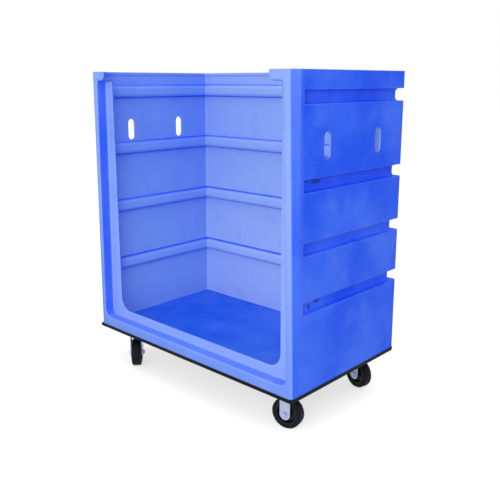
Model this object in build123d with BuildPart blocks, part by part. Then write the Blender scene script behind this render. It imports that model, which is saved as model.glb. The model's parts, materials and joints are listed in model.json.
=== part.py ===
"""Bulk cart: a rotationally moulded tub with an open front, on a steel chassis with four swivel casters.

The origin is on the floor under the middle of the cart. X runs along the width, the open front
faces -Y, and Z points up. All sizes are in millimetres.
"""

from build123d import *
from math import atan2, pi, radians, tan
import os

# Tub: outline of the drafted walls, from the base to the top edge
tub_height = 1400
tub_depth = 840
wall = 6.5
base_half_width = 709
side_draft = 19
rear_draft = 13
facet_length = 50
base_toe_in = 1
top_toe_in = 25
front_corner_radius = 20
rear_corner_radius = 20
floor_radius = 5
top_lip_height = 15
top_lip_thickness = 4

# Tub: stepped front frame and the opening in it
rim_width = 34
rim_edge_radius = 12
sill_rim_height = 48
recess_depth = 62
recess_corner_radius = 45
recess_edge_radius = 14
tab_height = 45
tab_width = 100
tab_slope = 18
flange_width_top = 48
flange_width_base = 80
sill_height = 95
opening_corner_radius = 70

# Tub: channels that run round the walls, and hand slots, each set down from the top edge
channel_height = 58
channel_depth = 30
channel_round = 18
channel_corner_radius = 16
channel_setback = 72
right_channel_drops = (1002, 739, 469, 108)
left_channel_drops = (1068, 732, 409, 102)
right_channel_wrap_length = 90
left_channel_end_gap = 190
slot_length = 114
slot_width = 43
slot_drop = 309
right_slot_places = (-191, 195)
left_slot_places = (-165, 187)

# Chassis: folded pan, two hat rails and the screws that hold the tub
pan_sheet = 2
pan_skirt = 16
pan_overhang = 3
rail_height = 30
rail_sheet = 4
rail_web = 126
rail_flange = 24
rail_bend_radius = 5
rail_end_gap = 59
screw_diameter = 8
screw_head_diameter = 15
countersink_angle = 90
screw_length = 25
screw_end_gap = 50
screw_columns = 4
nut_width = 13
nut_height = 6.5

# Casters: places, and the way each one trails at rest
caster_inset_x = 175
caster_inset_y = 117
caster_height = 190
caster_trail = 54
front_right_angle = 11
rear_right_angle = -13
front_left_angle = -44
rear_left_angle = 155

# Caster plate, its bolts and the swivel head
plate_length = 114
plate_width = 102
plate_thickness = 6
plate_corner_radius = 10
plate_bolt_x = 89
plate_bolt_y = 76
plate_bolt_diameter = 10
plate_bolt_head_width = 17
plate_bolt_head_height = 6.5
plate_nut_height = 8
bolt_end = 1.5
kingpin_diameter = 14
kingpin_head_diameter = 24
kingpin_head_height = 3
kingpin_nut_width = 22
kingpin_nut_height = 7
ball_diameter = 8
ball_count = 12
ball_circle_radius = 27
race_width = 13
race_lip = 3.5
lower_ball_diameter = 6
lower_ball_count = 9
lower_ball_circle_radius = 16
lower_race_width = 10
lower_race_lip = 2
lower_race_thickness = 4.5

# Fork, wheel and axle
fork_sheet = 5
crown_drop = 17
crown_radius = 37
fork_back = 34
fork_front = 40
fork_end_radius = 27
fork_shoulder = 26
fork_shoulder_radius = 14
fork_bend_radius = 8
wheel_diameter = 152
wheel_width = 50
tyre_round = 10
tyre_lip = 3
core_diameter = 112
core_rim_thickness = 7
core_rim_root = 14
hub_diameter = 44
hub_length = 56
hub_root = 3
web_thickness = 12
web_taper = 2
axle_diameter = 12
axle_head_width = 19
axle_head_height = 7.5
axle_nut_height = 10
sleeve_diameter = 18
roller_diameter = 6
roller_count = 8

# Clearances
screw_clearance = 0.25
bolt_clearance = 0.5
running_clearance = 0.08
ball_clearance = 0.3
kingpin_clearance = 0.4
hub_clearance = 0.5

# How far cutters reach past the faces they go through
cut_margin = 10

# Levels and places that follow from the driving dimensions
top_half_width = base_half_width - side_draft
top_rear_half_width = base_half_width - rear_draft
right_channel_levels = [tub_height - drop for drop in right_channel_drops]
left_channel_levels = [tub_height - drop for drop in left_channel_drops]
slot_level = tub_height - slot_drop
caster_spacing_x = 2 * (base_half_width - caster_inset_x)
caster_spacing_y = tub_depth - 2 * caster_inset_y
caster_angles = {
    "front_right": front_right_angle,
    "rear_right": rear_right_angle,
    "front_left": front_left_angle,
    "rear_left": rear_left_angle,
}
rail_length = 2 * (base_half_width - rail_end_gap)
screw_spacing = (rail_length - 2 * screw_end_gap) / (screw_columns - 1)
rail_base = caster_height
pan_base = rail_base + rail_height
deck_level = pan_base + pan_sheet
front_y = -tub_depth / 2
rear_y = tub_depth / 2
screw_row_y = caster_spacing_y / 2 + (rail_web + rail_flange) / 2


# Patterns

def screw_grid():
    """Places of the tub screws, in two rows along the rails' outer flanges."""
    return GridLocations(screw_spacing, 2 * screw_row_y, screw_columns, 2)


def plate_bolt_grid():
    """Places of one caster plate's bolts."""
    return GridLocations(plate_bolt_x, plate_bolt_y, 2, 2)


def caster_grid():
    """Places of the four casters."""
    return GridLocations(caster_spacing_x, caster_spacing_y, 2, 2)


# Tub

def half_widths(level):
    """Half widths of the tub at a level above its base: at the front, behind the facet, at the rear."""
    share = level / tub_height
    side = base_half_width + (top_half_width - base_half_width) * share
    rear = base_half_width + (top_rear_half_width - base_half_width) * share
    toe_in = base_toe_in + (top_toe_in - base_toe_in) * share
    return side - toe_in, side, rear


def side_at(level, y):
    """Half width of the side wall behind its front facet."""
    _, side, rear = half_widths(level)
    share = (y - front_y - facet_length) / (tub_depth - facet_length)
    return side + (rear - side) * share


def tub_outline(level, inset):
    """Corner points of the tub's plan outline, moved inwards by inset."""
    front, side, rear = half_widths(level)
    facet_angle = atan2(side - front, facet_length)
    right = [
        (front - inset * tan((pi / 2 - facet_angle) / 2), front_y + inset),
        (side - inset, front_y + facet_length + inset * tan(facet_angle / 2)),
        (rear - inset, rear_y - inset),
    ]
    left = [(-x, y) for x, y in reversed(right)]
    return right + left


def tub_block(inset, low, high):
    """Drafted block between two levels of the tub, with rounded rear corners."""
    with BuildPart() as block:
        for level in (low, high):
            with BuildSketch(Plane.XY.offset(deck_level + level)) as section:
                with BuildLine():
                    Polyline(*tub_outline(level, inset), close=True)
                make_face()
                fillet(section.vertices().group_by(Axis.Y)[0], front_corner_radius - inset)
                fillet(section.vertices().group_by(Axis.Y)[-1], rear_corner_radius - inset)
        loft(ruled=True)
    return block.part


def channel(level, side, rear_end, grow):
    """One channel along a side wall and round the rear corner, thicker by grow on every side."""
    depth = channel_depth + grow
    start_y = front_y + channel_setback - grow
    height = deck_level + level
    start = Vector(side * (side_at(level, start_y) - depth), start_y, height)
    corner = Vector(side * (half_widths(level)[2] - depth), rear_y - depth, height)
    end = Vector(rear_end - side * grow, rear_y - depth, height)
    with BuildPart() as cutter:
        with BuildLine():
            FilletPolyline(start, corner, end, radius=channel_corner_radius - grow)
        with BuildSketch(Plane(start, x_dir=(side, 0, 0), z_dir=corner - start)) as profile:
            Rectangle(2 * depth, channel_height + 2 * grow, align=(Align.MIN, Align.CENTER))
            fillet(profile.vertices().group_by(Axis.X)[0], channel_round + grow)
        sweep()
    return cutter.part


def channels(grow):
    """All channels: the right wall's own, and those of the left and rear walls."""
    cutters = []
    for level in right_channel_levels:
        cutters.append(channel(level, 1, half_widths(level)[2] - right_channel_wrap_length, grow))
    for level in left_channel_levels:
        cutters.append(channel(level, -1, half_widths(level)[2] - left_channel_end_gap, grow))
    return cutters


def front_recess(grow):
    """The recess that steps the front frame back inside its rim."""
    low = sill_rim_height - grow
    high = tub_height - tab_height + grow
    low_half = half_widths(low)[0] - rim_width + grow
    high_half = half_widths(high)[0] - rim_width + grow
    with BuildPart() as recess:
        with BuildSketch(Plane.XZ.offset(cut_margin - front_y)) as face:
            with BuildLine():
                Polyline(
                    (-low_half, deck_level + low),
                    (low_half, deck_level + low),
                    (high_half, deck_level + high),
                    (-high_half, deck_level + high),
                    close=True,
                )
            make_face()
            fillet(face.vertices().group_by(Axis.Y)[0], recess_corner_radius + grow)
            fillet(face.vertices().group_by(Axis.Y)[-1], recess_edge_radius + grow)
        extrude(amount=-(cut_margin + recess_depth + grow))
        fillet(recess.faces().sort_by(Axis.Y)[-1].edges(), recess_edge_radius + grow)
    return recess.part


def front_opening():
    """The cut-out in the recessed front wall, open at the top between the two tabs."""
    low_half = half_widths(sill_height)[0] - rim_width - flange_width_base
    high_half = half_widths(tub_height)[0] - rim_width - flange_width_top
    tab_half = half_widths(tub_height)[0] - tab_width
    tab_base = tub_height - tab_height
    right = [
        (low_half, deck_level + sill_height),
        (high_half, deck_level + tab_base),
        (tab_half, deck_level + tab_base + tab_slope),
        (tab_half, deck_level + tub_height + cut_margin),
    ]
    left = [(-x, z) for x, z in reversed(right)]
    with BuildPart() as opening:
        with BuildSketch(Plane.XZ.offset(cut_margin - front_y)) as face:
            with BuildLine():
                Polyline(*right, *left, close=True)
            make_face()
            fillet(face.vertices().group_by(Axis.Y)[0], opening_corner_radius)
        extrude(amount=-(recess_depth + wall + 2 * cut_margin))
    return opening.part


# The outer form of the tub, and the space inside it: the same form moved in by the wall
with BuildPart() as outer_form:
    add(tub_block(0, 0, tub_height))
    add(front_recess(0), mode=Mode.SUBTRACT)
    fillet(outer_form.edges(Select.NEW), rim_edge_radius)
    for cutter in channels(0):
        add(cutter, mode=Mode.SUBTRACT)

with BuildPart() as inner_form:
    add(tub_block(wall, wall, tub_height - top_lip_height))
    fillet(inner_form.faces().sort_by(Axis.Z)[0].edges(), floor_radius)
    add(front_recess(wall), mode=Mode.SUBTRACT)
    fillet(inner_form.edges(Select.NEW), rim_edge_radius - wall)
    for cutter in channels(wall):
        add(cutter, mode=Mode.SUBTRACT)
    add(tub_block(wall + top_lip_thickness, tub_height - top_lip_height, tub_height))
    add(front_recess(wall), mode=Mode.SUBTRACT)

with BuildPart() as tub:
    add(outer_form.part)
    add(inner_form.part, mode=Mode.SUBTRACT)
    add(front_opening(), mode=Mode.SUBTRACT)
    for side, places in ((1, right_slot_places), (-1, left_slot_places)):
        outside = Plane(
            (side * (base_half_width + cut_margin), 0, 0),
            x_dir=(0, side, 0),
            z_dir=(side, 0, 0),
        )
        with BuildSketch(outside):
            with Locations(*[(side * y, deck_level + slot_level) for y in places]):
                SlotOverall(slot_length, slot_width, rotation=90)
        reach = base_half_width - top_half_width + wall + 2 * cut_margin
        extrude(amount=-reach, mode=Mode.SUBTRACT)
    with Locations((0, 0, deck_level + wall)):
        with screw_grid():
            CounterSinkHole(
                screw_diameter / 2 + screw_clearance,
                screw_head_diameter / 2 + screw_clearance,
                depth=wall,
                counter_sink_angle=countersink_angle,
            )


# Chassis

# Folded pan under the tub, its skirt showing as a dark strip below the walls
with BuildPart() as chassis_pan:
    with BuildSketch(Plane.XY.offset(deck_level)) as pan_outline:
        with BuildLine():
            Polyline(*tub_outline(0, -pan_overhang), close=True)
        make_face()
        fillet(pan_outline.vertices().group_by(Axis.Y)[-1], rear_corner_radius + pan_overhang)
    extrude(amount=-pan_skirt)
    offset(amount=-pan_sheet, openings=chassis_pan.faces().sort_by(Axis.Z)[0])
    with Locations((0, 0, deck_level)):
        with screw_grid():
            Hole(screw_diameter / 2 + screw_clearance, depth=pan_sheet)


def hat_rail(side):
    """Hat rail across the cart, bent from one sheet, with the holes of its bolts and screws."""
    web_half = rail_web / 2
    tip = web_half + rail_flange
    middle = side * caster_spacing_y / 2
    flange = pan_base - rail_sheet
    bends = [(-tip, flange), (-web_half, flange), (-web_half, rail_base)]
    bends += [(-y, z) for y, z in reversed(bends)]
    with BuildPart() as rail:
        with BuildSketch(Plane.YZ.offset(-rail_length / 2)):
            with BuildLine() as fold:
                FilletPolyline(*[(middle + y, z) for y, z in bends], radius=rail_bend_radius)
                offset(amount=rail_sheet, side=Side.LEFT)
            make_face()
        extrude(amount=rail_length)
        for end in (-1, 1):
            with Locations((end * caster_spacing_x / 2, middle, rail_base + rail_sheet)):
                with plate_bolt_grid():
                    Hole(plate_bolt_diameter / 2 + bolt_clearance, depth=rail_sheet)
        with Locations((0, side * screw_row_y, pan_base)):
            with GridLocations(screw_spacing, 1, screw_columns, 1):
                Hole(screw_diameter / 2 + screw_clearance, depth=rail_sheet)
    return rail


front_rail = hat_rail(-1)
rear_rail = hat_rail(1)

# Countersunk screws, flush with the tub's floor, and their nuts under the rails' outer flanges
with BuildPart() as tub_screws:
    with Locations((0, 0, deck_level + wall)):
        with screw_grid():
            Cylinder(screw_diameter / 2, screw_length, align=(Align.CENTER, Align.CENTER, Align.MAX))
            Cone(
                screw_diameter / 2,
                screw_head_diameter / 2,
                (screw_head_diameter - screw_diameter) / 2 / tan(radians(countersink_angle / 2)),
                align=(Align.CENTER, Align.CENTER, Align.MAX),
            )

with BuildPart() as tub_nuts:
    with BuildSketch(Plane.XY.offset(pan_base - rail_sheet)):
        with screw_grid():
            RegularPolygon(nut_width / 2, 6, major_radius=False)
            Circle(screw_diameter / 2, mode=Mode.SUBTRACT)
    extrude(amount=-nut_height)

# Bolts that hold the caster plates, heads inside the rails, and their nuts under the plates
with BuildPart() as plate_bolts:
    with BuildSketch(Plane.XY.offset(rail_base + rail_sheet)):
        with caster_grid(), plate_bolt_grid():
            RegularPolygon(plate_bolt_head_width / 2, 6, major_radius=False)
    extrude(amount=plate_bolt_head_height)
    with BuildSketch(Plane.XY.offset(rail_base + rail_sheet)):
        with caster_grid(), plate_bolt_grid():
            Circle(plate_bolt_diameter / 2)
    extrude(amount=-(rail_sheet + plate_thickness + plate_nut_height + bolt_end))

with BuildPart() as plate_nuts:
    with BuildSketch(Plane.XY.offset(rail_base - plate_thickness)):
        with caster_grid(), plate_bolt_grid():
            RegularPolygon(plate_bolt_head_width / 2, 6, major_radius=False)
            Circle(plate_bolt_diameter / 2, mode=Mode.SUBTRACT)
    extrude(amount=-plate_nut_height)


# Swivel caster, drawn about its swivel axis, with the plate's upper face at zero, trailing along +X

crown_base = -crown_drop - fork_sheet
upper_ball_level = -(plate_thickness + crown_drop) / 2
lower_ball_level = crown_base - ball_clearance - lower_ball_diameter / 2
lower_race_top = lower_ball_level - lower_race_lip
lower_race_base = lower_race_top - lower_race_thickness
wheel_level = wheel_diameter / 2 - caster_height
fork_half_gap = hub_length / 2 + hub_clearance
leg_outside = fork_half_gap + fork_sheet
leg_back = caster_trail - fork_end_radius
leg_front = caster_trail + fork_end_radius
core_half_width = wheel_width / 2 - tyre_lip
bore_radius = sleeve_diameter / 2 + roller_diameter
axle_plane = Plane((caster_trail, 0, wheel_level), x_dir=(1, 0, 0), z_dir=(0, 1, 0))
wheel_section = Plane((caster_trail, 0, wheel_level), x_dir=(0, 1, 0), z_dir=(1, 0, 0))
wheel_axis = Axis((caster_trail, 0, wheel_level), (0, 1, 0))


def ring_section(radius, width, low, high):
    """Rectangle of a ring's section, between two levels."""
    with Locations((radius, (low + high) / 2)):
        Rectangle(width, high - low)


with BuildPart() as top_plate:
    with BuildSketch():
        RectangleRounded(plate_length, plate_width, plate_corner_radius)
    extrude(amount=-plate_thickness)
    with BuildSketch(Plane.XZ):
        ring_section(ball_circle_radius, race_width, -plate_thickness - race_lip, -plate_thickness)
    revolve(axis=Axis.Z)
    with BuildSketch(Plane.XZ):
        with Locations((ball_circle_radius, upper_ball_level)):
            Circle(ball_diameter / 2 + ball_clearance)
    revolve(axis=Axis.Z, mode=Mode.SUBTRACT)
    with plate_bolt_grid():
        Hole(plate_bolt_diameter / 2 + bolt_clearance)
    CounterBoreHole(
        kingpin_diameter / 2 + running_clearance,
        kingpin_head_diameter / 2 + running_clearance,
        kingpin_head_height,
    )

with BuildPart() as kingpin:
    Cylinder(
        kingpin_head_diameter / 2,
        kingpin_head_height,
        align=(Align.CENTER, Align.CENTER, Align.MAX),
    )
    Cylinder(
        kingpin_diameter / 2,
        kingpin_nut_height + bolt_end - lower_race_base,
        align=(Align.CENTER, Align.CENTER, Align.MAX),
    )
    chamfer(kingpin.faces().sort_by(Axis.Z)[0].edges(), bolt_end / 2)

with BuildPart() as kingpin_nut:
    with BuildSketch(Plane.XY.offset(lower_race_base)):
        RegularPolygon(kingpin_nut_width / 2, 6, major_radius=False)
        Circle(kingpin_diameter / 2, mode=Mode.SUBTRACT)
    extrude(amount=-kingpin_nut_height)

with BuildPart() as swivel_balls:
    with Locations((0, 0, upper_ball_level)):
        with PolarLocations(ball_circle_radius, ball_count):
            Sphere(ball_diameter / 2)
    with Locations((0, 0, lower_ball_level)):
        with PolarLocations(lower_ball_circle_radius, lower_ball_count):
            Sphere(lower_ball_diameter / 2)

with BuildPart() as lower_race:
    with BuildSketch(Plane.XZ):
        with BuildLine():
            Polyline(
                (kingpin_diameter / 2 + running_clearance, lower_race_base),
                (lower_ball_circle_radius + lower_race_width / 2, lower_race_base),
                (lower_ball_circle_radius + lower_race_width / 2, lower_race_top + lower_race_lip / 2),
                (kingpin_diameter / 2 + running_clearance, lower_race_top + lower_race_lip / 2),
                close=True,
            )
        make_face()
        with Locations((lower_ball_circle_radius, lower_ball_level)):
            Circle(lower_ball_diameter / 2 + ball_clearance, mode=Mode.SUBTRACT)
    revolve(axis=Axis.Z)


def fork_bow(half_width, top, bend_radius):
    """Outline of the fork's bow seen along X: down one leg, across the crown and down the other."""
    foot = wheel_level - fork_end_radius
    with BuildLine() as bow:
        FilletPolyline(
            (-half_width, foot),
            (-half_width, top),
            (half_width, top),
            (half_width, foot),
            radius=bend_radius,
        )
        Line((half_width, foot), (-half_width, foot))
    return bow.line


with BuildPart() as fork:
    with BuildSketch(Plane.XZ) as leg_side:
        with BuildLine():
            Polyline(
                (leg_back, wheel_level),
                (leg_back, -crown_drop - fork_shoulder),
                (-fork_back, -crown_drop),
                (fork_front, -crown_drop),
                (leg_front, -crown_drop - fork_shoulder),
                (leg_front, wheel_level),
            )
            ThreePointArc(
                (leg_front, wheel_level),
                (caster_trail, wheel_level - fork_end_radius),
                (leg_back, wheel_level),
            )
        make_face()
        fillet(leg_side.vertices().group_by(Axis.Y)[-2], fork_shoulder_radius)
    extrude(amount=leg_outside, both=True)
    with BuildSketch(Plane.YZ):
        make_face(fork_bow(leg_outside, -crown_drop, fork_bend_radius))
        make_face(fork_bow(fork_half_gap, crown_base, fork_bend_radius - fork_sheet), mode=Mode.SUBTRACT)
    extrude(amount=caster_trail + fork_back + fork_end_radius, both=True, mode=Mode.INTERSECT)
    with BuildSketch(Plane.XY.offset(crown_base)):
        Circle(crown_radius)
    extrude(amount=fork_sheet)
    with BuildSketch(Plane.XZ):
        ring_section(ball_circle_radius, race_width, -crown_drop, -crown_drop + race_lip)
        ring_section(lower_ball_circle_radius, lower_race_width, crown_base - lower_race_lip, crown_base)
    revolve(axis=Axis.Z)
    with BuildSketch(Plane.XZ):
        with Locations((ball_circle_radius, upper_ball_level)):
            Circle(ball_diameter / 2 + ball_clearance)
        with Locations((lower_ball_circle_radius, lower_ball_level)):
            Circle(lower_ball_diameter / 2 + ball_clearance)
    revolve(axis=Axis.Z, mode=Mode.SUBTRACT)
    Hole(kingpin_diameter / 2 + kingpin_clearance)
    with BuildSketch(axle_plane):
        Circle(axle_diameter / 2 + running_clearance)
    extrude(amount=2 * leg_outside, both=True, mode=Mode.SUBTRACT)

with BuildPart() as axle_bolt:
    with BuildSketch(axle_plane.offset(-leg_outside)):
        RegularPolygon(axle_head_width / 2, 6, major_radius=False)
    extrude(amount=-axle_head_height)
    with BuildSketch(axle_plane.offset(-leg_outside)):
        Circle(axle_diameter / 2)
    extrude(amount=2 * leg_outside + axle_nut_height + bolt_end)
    chamfer(axle_bolt.faces().sort_by(Axis.Y)[-1].edges(), bolt_end / 2)

with BuildPart() as axle_nut:
    with BuildSketch(axle_plane.offset(leg_outside)):
        RegularPolygon(axle_head_width / 2, 6, major_radius=False)
        Circle(axle_diameter / 2, mode=Mode.SUBTRACT)
    extrude(amount=axle_nut_height)

with BuildPart() as axle_sleeve:
    with BuildSketch(axle_plane.offset(-fork_half_gap)):
        Circle(sleeve_diameter / 2)
        Circle(axle_diameter / 2 + running_clearance, mode=Mode.SUBTRACT)
    extrude(amount=2 * fork_half_gap)

with BuildPart() as hub_rollers:
    with BuildSketch(axle_plane.offset(-hub_length / 2 + hub_clearance)):
        with PolarLocations((sleeve_diameter + roller_diameter) / 2, roller_count):
            Circle(roller_diameter / 2 - running_clearance)
    extrude(amount=hub_length - 2 * hub_clearance)

with BuildPart() as wheel_core:
    with BuildSketch(wheel_section):
        half = [
            (hub_length / 2, bore_radius),
            (hub_length / 2, hub_diameter / 2),
            (web_thickness / 2 + web_taper, hub_diameter / 2 + hub_root),
            (web_thickness / 2, core_diameter / 2 - core_rim_root),
            (core_half_width, core_diameter / 2 - core_rim_thickness),
            (core_half_width, core_diameter / 2),
        ]
        with BuildLine():
            Polyline(*half, *[(-across, radius) for across, radius in reversed(half)], close=True)
        make_face()
    revolve(axis=wheel_axis)

with BuildPart() as tyre:
    with BuildSketch(wheel_section) as tread:
        half = [
            (core_half_width, core_diameter / 2),
            (wheel_width / 2, core_diameter / 2 + tyre_lip),
            (wheel_width / 2, wheel_diameter / 2),
        ]
        with BuildLine():
            Polyline(*half, *[(-across, radius) for across, radius in reversed(half)], close=True)
        make_face()
        fillet(tread.vertices().group_by(Axis.Y)[-1], tyre_round)
    revolve(axis=wheel_axis)


# Each piece is written once, and each caster piece once for every corner of the cart

os.makedirs("parts", exist_ok=True)

single_pieces = {
    "tub": tub,
    "chassis_pan": chassis_pan,
    "front_rail": front_rail,
    "rear_rail": rear_rail,
    "tub_screws": tub_screws,
    "tub_nuts": tub_nuts,
    "plate_bolts": plate_bolts,
    "plate_nuts": plate_nuts,
}
caster_pieces = {
    "top_plate": top_plate,
    "kingpin": kingpin,
    "kingpin_nut": kingpin_nut,
    "swivel_balls": swivel_balls,
    "lower_race": lower_race,
    "fork": fork,
    "axle_bolt": axle_bolt,
    "axle_nut": axle_nut,
    "axle_sleeve": axle_sleeve,
    "hub_rollers": hub_rollers,
    "wheel_core": wheel_core,
    "tyre": tyre,
}

for name, piece in single_pieces.items():
    piece.part.label = name
    export_step(piece.part, f"parts/{name}.step")

for corner, angle in caster_angles.items():
    x = caster_spacing_x / 2 if "right" in corner else -caster_spacing_x / 2
    y = caster_spacing_y / 2 if "rear" in corner else -caster_spacing_y / 2
    for name, piece in caster_pieces.items():
        turn = 0 if piece is top_plate else angle
        placed = piece.part.moved(Location((x, y, caster_height), (0, 0, turn)))
        placed.label = f"{name}_{corner}"
        export_step(placed, f"parts/{name}_{corner}.step")
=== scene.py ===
"""Looks of the bulk cart: moulded plastic, zinc-plated casters and rubber wheels in a pale studio."""

import bpy
import json
import math
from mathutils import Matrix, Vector

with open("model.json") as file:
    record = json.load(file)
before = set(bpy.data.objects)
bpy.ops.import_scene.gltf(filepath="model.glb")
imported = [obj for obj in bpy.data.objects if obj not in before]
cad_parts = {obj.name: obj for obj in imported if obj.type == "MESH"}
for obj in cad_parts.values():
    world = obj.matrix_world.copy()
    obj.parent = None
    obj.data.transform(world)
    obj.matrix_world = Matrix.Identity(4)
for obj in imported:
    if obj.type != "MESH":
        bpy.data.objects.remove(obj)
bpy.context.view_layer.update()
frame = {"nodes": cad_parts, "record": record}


# Camera at the photograph's angle

def add_camera(place, target, lens):
    """The scene's camera, aimed from its place at the target."""
    data = bpy.data.cameras.new("camera")
    data.lens = lens
    data.sensor_width = 36
    camera = bpy.data.objects.new("camera", data)
    bpy.context.scene.collection.objects.link(camera)
    camera.location = place
    camera.rotation_euler = (Vector(target) - Vector(place)).to_track_quat("-Z", "Y").to_euler()
    bpy.context.scene.camera = camera


add_camera(place=(2.356, -2.450, 1.574), target=(0.070, 0, 0.712), lens=47.2)


# Tools for finishes

class Wire:
    """An output of a finish's node; arithmetic on it adds Math nodes."""

    def __init__(self, finish, socket):
        self.finish = finish
        self.socket = socket

    def math(self, operation, first, second=0.0, third=0.0):
        return self.finish.node("ShaderNodeMath", {"operation": operation}, {0: first, 1: second, 2: third})

    def __add__(self, other):
        return self.math("ADD", self, other)

    def __sub__(self, other):
        return self.math("SUBTRACT", self, other)

    def __mul__(self, other):
        return self.math("MULTIPLY", self, other)

    def __truediv__(self, other):
        return self.math("DIVIDE", self, other)

    def __rsub__(self, other):
        return self.math("SUBTRACT", other, self)

    def __neg__(self):
        return self.math("MULTIPLY", self, -1.0)

    def __abs__(self):
        return self.math("ABSOLUTE", self)

    __radd__ = __add__
    __rmul__ = __mul__

    def step(self, low, high):
        """0 below low, 1 above high and smooth between; with low above high it falls instead."""
        return self.finish.node(
            "ShaderNodeMapRange",
            {"interpolation_type": "SMOOTHSTEP"},
            {"Value": self, "From Min": low, "From Max": high},
            "Result",
        )


class Finish:
    """The nodes of one material, or of the sky, made one by one."""

    def __init__(self, owner):
        self.owner = owner
        owner.use_nodes = True
        self.tree = owner.node_tree
        self.tree.nodes.clear()

    def node(self, kind, settings, inputs, output=0):
        """A node with its settings made first, then its inputs' values or links; gives one output."""
        made = self.tree.nodes.new(kind)
        for name, value in settings.items():
            setattr(made, name, value)
        for name, value in inputs.items():
            socket = made.inputs[name]
            if isinstance(value, Wire):
                self.tree.links.new(value.socket, socket)
            elif socket.type == "RGBA":
                socket.default_value = (*value, 1)
            else:
                socket.default_value = value
        return Wire(self, made.outputs[output]) if made.outputs else None

    def place(self, stretch=(1, 1, 1)):
        """Object coordinates in metres, scaled along each axis."""
        spot = self.node("ShaderNodeTexCoord", {}, {}, "Object")
        return self.node("ShaderNodeMapping", {}, {"Vector": spot, "Scale": stretch})

    def axes(self, vector):
        """The three parts of a vector."""
        first = self.node("ShaderNodeSeparateXYZ", {}, {0: vector})
        return [Wire(self, output) for output in first.socket.node.outputs]

    def facing(self):
        """The three parts of the direction that the surface faces."""
        return self.axes(self.node("ShaderNodeNewGeometry", {}, {}, "Normal"))

    def noise(self, scale, detail=2.0, stretch=(1, 1, 1), distortion=0.0):
        """Smooth noise about 0.5, with scale waves to the metre."""
        inputs = {
            "Vector": self.place(stretch),
            "Scale": scale,
            "Detail": detail,
            "Distortion": distortion,
        }
        return self.node("ShaderNodeTexNoise", {}, inputs, "Fac")

    def scratches(self, scale, stretch, share):
        """Thin lines where stretched noise crosses its middle, kept on a share of the surface."""
        line = abs(self.noise(scale, 1.0, stretch) - 0.5).step(0.010, 0.0)
        return line * self.noise(7.0, 2.0).step(0.62 - share, 0.72 - share)

    def near(self, centre, size, ragged):
        """1 at a place and 0 past its size along each axis, with a ragged edge."""
        x, y, z = self.axes(self.place())
        reach = 0.0
        for along, middle, half in zip((x, y, z), centre, size):
            part = (along - middle) / half
            reach = part * part + reach
        return (reach + ragged).step(1.0, 0.55)

    def mix(self, factor, first, second):
        """A colour between two colours."""
        return self.node("ShaderNodeMix", {"data_type": "RGBA"}, {0: factor, 6: first, 7: second}, 2)

    def rounded(self, radius):
        """The direction that the surface faces, with its edges rounded by a radius."""
        return self.node("ShaderNodeBevel", {"samples": 8}, {"Radius": radius}, "Normal")

    def edges(self, radius):
        """1 at edges and corners, 0 on flat stretches."""
        true = self.node("ShaderNodeNewGeometry", {}, {}, "Normal")
        inputs = {0: true, 1: self.rounded(radius)}
        return self.node("ShaderNodeVectorMath", {"operation": "DOT_PRODUCT"}, inputs, "Value").step(0.99, 0.8)

    def bump(self, height, distance, normal=None):
        """The normal disturbed by a height of 0 to 1 over a distance in metres."""
        inputs = {"Height": height, "Distance": distance}
        if normal:
            inputs["Normal"] = normal
        return self.node("ShaderNodeBump", {}, inputs, "Normal")

    def surface(self, colour, roughness, metallic=0.0, normal=None, **constants):
        """The finished material. Constants name the shader's own sockets."""
        inputs = {"Base Color": colour, "Roughness": roughness, "Metallic": metallic}
        if normal:
            inputs["Normal"] = normal
        inputs.update({name.replace("_", " "): value for name, value in constants.items()})
        shader = self.node("ShaderNodeBsdfPrincipled", {}, inputs)
        self.node("ShaderNodeOutputMaterial", {}, {"Surface": shader})
        return self.owner

    def seen(self):
        """1 for rays that show the background: straight from the camera, mirrored or let through."""
        found = 0.0
        for ray in ("Is Camera Ray", "Is Glossy Ray", "Is Transmission Ray"):
            found = self.node("ShaderNodeLightPath", {}, {}, ray) + found
        return found.step(0.0, 1.0)


def material(name):
    """An empty finish under a material's name."""
    return Finish(bpy.data.materials.new(name))


# Finishes

# Places on the tub, in metres: dark spots painted on the right wall, and the crease on the tub's floor
DARK_SPOTS = (
    ((0.694, -0.201, 1.270), (0.03, 0.013, 0.015)),
    ((0.667, -0.228, 1.162), (0.03, 0.038, 0.011)),
    ((0.667, -0.212, 0.626), (0.03, 0.028, 0.011)),
    ((0.667, -0.268, 0.612), (0.03, 0.010, 0.018)),
)
CREASE_X = -0.167
CREASE_MIDDLE_Y = 0.15
CREASE_HALF_LENGTH = 0.25
FLOOR_TOP = 0.2285


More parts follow.
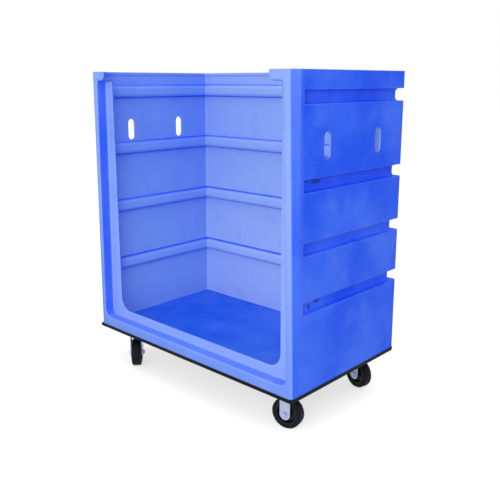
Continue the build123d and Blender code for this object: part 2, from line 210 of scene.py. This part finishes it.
def moulded_polyethylene():
    """Blue moulded plastic: deep outside; paler inside and palest where it faces front, which is painted light;
    with painted shade beside the front frame, painted edge highlights, dark spots, streaks and scratches.
    """
    finish = material("blue_polyethylene")
    x, y, z = finish.axes(finish.place())
    across, along, up = finish.facing()
    cloud = finish.noise(2.6, 3.0).step(0.3, 0.7)
    drift = finish.noise(9.0, 3.0, distortion=0.6)
    # Painted light: 1 low down and 0 high up, to make the inner faces paler towards the bottom
    low = z.step(1.45, 0.25)
    frame_zone = y.step(-0.335, -0.375)

    outside = finish.mix(cloud, (0.002, 0.078, 0.90), (0.012, 0.125, 0.96))
    # Painted light: the frame's outer faces paler towards the top
    outside = finish.mix(frame_zone * z.step(0.35, 1.0) * 0.5, outside, (0.060, 0.170, 0.92))
    # The tub's floor: painted light and shade, a tone of its own picked by facing, a little paler and greyer
    # than outside
    floor = finish.mix(cloud, (0.008, 0.115, 0.81), (0.026, 0.175, 0.87))
    # Inner side walls: painted light, paler than outside and palest towards the bottom
    lining_painted_light = finish.mix(low, (0.145, 0.285, 0.87), (0.290, 0.470, 0.92))
    # Painted shade: the inner side walls darker next to the front frame
    lining_painted_light = finish.mix(y.step(-0.24, -0.38) * 0.9, lining_painted_light, (0.016, 0.110, 0.88))
    # Faces that face front, such as the back wall's inside: painted light, palest of all and paler towards the
    # bottom
    back = finish.mix(low, (0.265, 0.405, 0.85), (0.430, 0.590, 0.93))
    # The front faces of the frame: painted light, paler than outside and paler towards the top
    rim_painted_light = finish.mix(z.step(0.25, 1.1), (0.140, 0.260, 0.84), (0.230, 0.350, 0.86))

    inside = (x * across).step(-0.30, -0.62)
    level = up.step(0.6, 0.9)
    front = along.step(-0.30, -0.92)
    # Painted light and shade: each way of facing picks its own copy of the blue, for the floor, inner walls,
    # up-facing ledges and faces that face front
    colour = finish.mix(level * (z - FLOOR_TOP).step(0.02, 0.01), outside, floor)
    colour = finish.mix(inside, colour, lining_painted_light)
    # Painted light and shade: the frame's up-facing ledges get a tone of their own, paler than outside and
    # darker than the frame's front faces
    colour = finish.mix(level * frame_zone, colour, (0.110, 0.230, 0.88))
    colour = finish.mix(front, colour, back)
    colour = finish.mix(front * frame_zone, colour, rim_painted_light)
    colour = finish.mix(cloud * 0.12, colour, (0.30, 0.44, 0.95))

    streaks = finish.noise(5.0, 3.0, (1, 1, 0.18)).step(0.56, 0.75) * (inside + front).step(0.0, 1.0)
    colour = finish.mix(streaks * 0.18, colour, (0.38, 0.50, 0.97))
    colour = finish.mix(drift.step(0.52, 0.85) * 0.14, colour, (0.004, 0.045, 0.70))
    colour = finish.mix(drift.step(0.48, 0.20) * 0.10, colour, (0.30, 0.42, 0.96))

    # Painted highlight: a patchy paler blue along edges and corners, which are also a little rougher
    painted_edge_highlight = finish.edges(0.008) * finish.noise(16.0, 2.0).step(0.25, 0.6)
    colour = finish.mix(painted_edge_highlight * 0.5, colour, (0.30, 0.42, 0.96))

    ragged = finish.noise(60.0, 3.0) * 0.9 - 0.45
    # Near-black blue spots at the listed places, with ragged edges
    dark_spot = 0.0
    for spot, size in DARK_SPOTS:
        dark_spot = finish.near(spot, size, ragged) + dark_spot
    colour = finish.mix(dark_spot.step(0.0, 1.0) * 0.7, colour, (0.006, 0.020, 0.16))

    crease = abs(x - CREASE_X + finish.noise(7.0, 1.0) * 0.008).step(0.006, 0.0)
    crease = crease * abs(y - CREASE_MIDDLE_Y).step(CREASE_HALF_LENGTH, CREASE_HALF_LENGTH - 0.06)
    crease = crease * abs(z - FLOOR_TOP).step(0.004, 0.002)
    colour = finish.mix(crease * 0.5, colour, (0.14, 0.26, 0.93))

    lines = finish.scratches(12.0, (1, 1, 7), 0.1)
    colour = finish.mix(lines * 0.25, colour, (0.30, 0.42, 0.95))

    peel = finish.noise(420.0, 1.0)
    waves = finish.noise(5.5, 1.0)
    normal = finish.bump(peel, 0.0003, finish.rounded(0.006))
    normal = finish.bump(waves, 0.004, normal)
    normal = finish.bump(crease, 0.001, normal)
    roughness = 0.42 + 0.14 * drift + 0.12 * lines + 0.1 * painted_edge_highlight
    return finish.surface(colour, roughness, normal=normal, Specular_IOR_Level=0.15)


def black_paint():
    """Black powder coat with a fine grain, chipped a little along its edges."""
    finish = material("black_steel")
    chips = finish.edges(0.0015) * finish.noise(60.0, 3.0).step(0.58, 0.68)
    colour = finish.mix(chips * 0.5, (0.002, 0.002, 0.0025), (0.05, 0.048, 0.046))
    normal = finish.bump(finish.noise(900.0, 1.0), 0.0002)
    roughness = 0.45 + 0.15 * finish.noise(12.0, 2.0)
    return finish.surface(colour, roughness, normal=normal, Specular_IOR_Level=0.1)


def zinc_plate():
    """Blue-white zinc plating with a faint grain, dulled and spotted by use."""
    finish = material("zinc_steel")
    dull = finish.noise(26.0, 4.0)
    spots = finish.noise(190.0, 2.0).step(0.64, 0.74)
    colour = finish.mix(dull, (0.30, 0.35, 0.52), (0.47, 0.54, 0.76))
    colour = finish.mix(spots * 0.6, colour, (0.20, 0.21, 0.24))
    grain = finish.noise(700.0, 1.0, (1, 1, 0.06))
    normal = finish.bump(grain, 0.00006, finish.rounded(0.0012))
    return finish.surface(colour, 0.34 + 0.2 * dull + 0.2 * spots, 0.9, normal)


def bearing_steel():
    """Ground steel under a film of grease."""
    finish = material("bearing_steel")
    film = finish.noise(80.0, 3.0).step(0.45, 0.6)
    colour = finish.mix(film, (0.55, 0.55, 0.56), (0.16, 0.13, 0.09))
    return finish.surface(colour, 0.18 + 0.2 * film, 1.0)


def black_core():
    """Moulded black wheel centre with a satin skin and dust in its web."""
    finish = material("black_core")
    dust = finish.noise(35.0, 4.0).step(0.45, 0.8)
    colour = finish.mix(dust * 0.5, (0.003, 0.0035, 0.006), (0.020, 0.023, 0.034))
    normal = finish.bump(finish.noise(500.0, 1.0), 0.0001, finish.rounded(0.001))
    return finish.surface(colour, 0.42 + 0.2 * dust, normal=normal, Specular_IOR_Level=0.25)


def black_rubber():
    """Black rubber tread, dusty and scuffed where it rolls."""
    finish = material("black_rubber")
    dust = finish.noise(50.0, 5.0).step(0.45, 0.75)
    colour = finish.mix(dust, (0.0025, 0.003, 0.006), (0.013, 0.016, 0.028))
    normal = finish.bump(finish.noise(260.0, 3.0), 0.0003, finish.rounded(0.002))
    return finish.surface(colour, 0.55 + 0.25 * dust, normal=normal, Specular_IOR_Level=0.12)


finishes = {
    "blue_polyethylene": moulded_polyethylene(),
    "black_steel": black_paint(),
    "zinc_steel": zinc_plate(),
    "bearing_steel": bearing_steel(),
    "black_core": black_core(),
    "black_rubber": black_rubber(),
}

for part in frame["record"]["subparts"]:
    node = frame["nodes"][part["node"]]
    node.data.materials.clear()
    node.data.materials.append(finishes[part["material_slot"]])


# Studio

def pale_floor():
    """A wide pale floor that reads white to the camera and keeps the cart's shadow."""
    finish = material("floor")
    shown = finish.mix(finish.seen(), (0, 0, 0), (0.62, 0.62, 0.62))
    finish.surface((0.62, 0.62, 0.62), 1.0, Emission_Color=shown, Emission_Strength=1.0, Specular_IOR_Level=0.0)
    bpy.ops.mesh.primitive_plane_add(size=60)
    floor = bpy.context.object
    floor.name = "floor"
    floor.data.materials.append(finish.owner)


def pale_sky(strength):
    """A white surround that lights the cart softly and is white behind it."""
    sky = Finish(bpy.data.worlds.new("studio"))
    bpy.context.scene.world = sky.owner
    level = sky.seen() * (1 - strength) + strength
    back = sky.node("ShaderNodeBackground", {}, {"Color": (1, 1, 1), "Strength": level})
    sky.node("ShaderNodeOutputWorld", {}, {"Surface": back})


def softbox(name, azimuth, elevation, distance, size, power):
    """A square lamp aimed at the middle of the cart."""
    data = bpy.data.lights.new(name, "AREA")
    data.shape = "SQUARE"
    data.size = size
    data.energy = power
    lamp = bpy.data.objects.new(name, data)
    bpy.context.scene.collection.objects.link(lamp)
    turn, tilt = math.radians(azimuth), math.radians(elevation)
    away = Vector((math.sin(turn) * math.cos(tilt), -math.cos(turn) * math.cos(tilt), math.sin(tilt)))
    lamp.location = Vector((0, 0, 0.8)) + away * distance
    lamp.rotation_euler = (-away).to_track_quat("-Z", "Y").to_euler()


pale_floor()
pale_sky(0.74)
softbox("front_lamp", azimuth=20, elevation=12, distance=4.5, size=3.0, power=80)
softbox("right_lamp", azimuth=70, elevation=30, distance=4.5, size=3.0, power=25)
softbox("top_lamp", azimuth=0, elevation=85, distance=4.0, size=3.0, power=30)

bpy.context.scene.view_settings.view_transform = "Standard"
